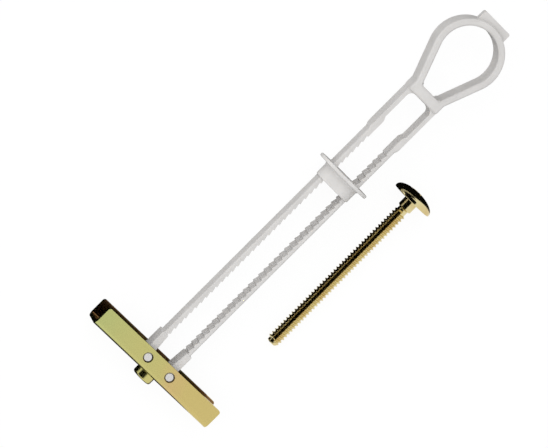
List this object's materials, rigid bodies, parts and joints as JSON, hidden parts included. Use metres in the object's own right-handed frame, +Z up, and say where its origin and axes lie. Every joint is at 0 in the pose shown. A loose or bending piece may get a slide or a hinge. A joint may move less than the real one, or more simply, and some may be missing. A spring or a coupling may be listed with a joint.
{
  "type": "strap toggle bolt",
  "caption": "Strap toggle anchor for hollow walls: folded channel with a tapped boss, toothed straps, ratchet collar and pull ring, with its machine screw.",
  "frame": {"origin": "centre of the tapped hole's mouth, on the inner face of the channel's web", "axes": "+Z up from the table the part lies on; +X along the straps toward the pull ring; +Y along the channel"},
  "size_m": [0.1495, 0.0524, 0.0187],
  "materials": {
    "plated_channel": "yellow passivated zinc plate, glossy",
    "plated_screw": "yellow passivated zinc plate, glossy",
    "strap_nylon": "moulded natural nylon, satin",
    "collar_nylon": "moulded natural nylon, satin"
  },
  "bodies": {
    "straps": {"strap_carrier": "strap_nylon", "machine_screw": "plated_screw"},
    "channel": {"channel": "plated_channel", "pivot_stubs": "strap_nylon"},
    "collar": {"collar": "collar_nylon"}
  },
  "joints": [
    {"name": "collar_slide", "type": "slide", "parent": "straps", "child": "collar", "axis": [0.9989, 0, 0.047], "range_m": [-0.053, 0.014]},
    {"name": "channel_fold", "type": "hinge", "parent": "straps", "child": "channel", "pos_m": [0.0026, 0.0046, 0.00012], "axis": [0.047, 0, -0.9989], "range_deg": [0, 90], "stiffness_Nm_per_rad": 0.02}
  ]
}
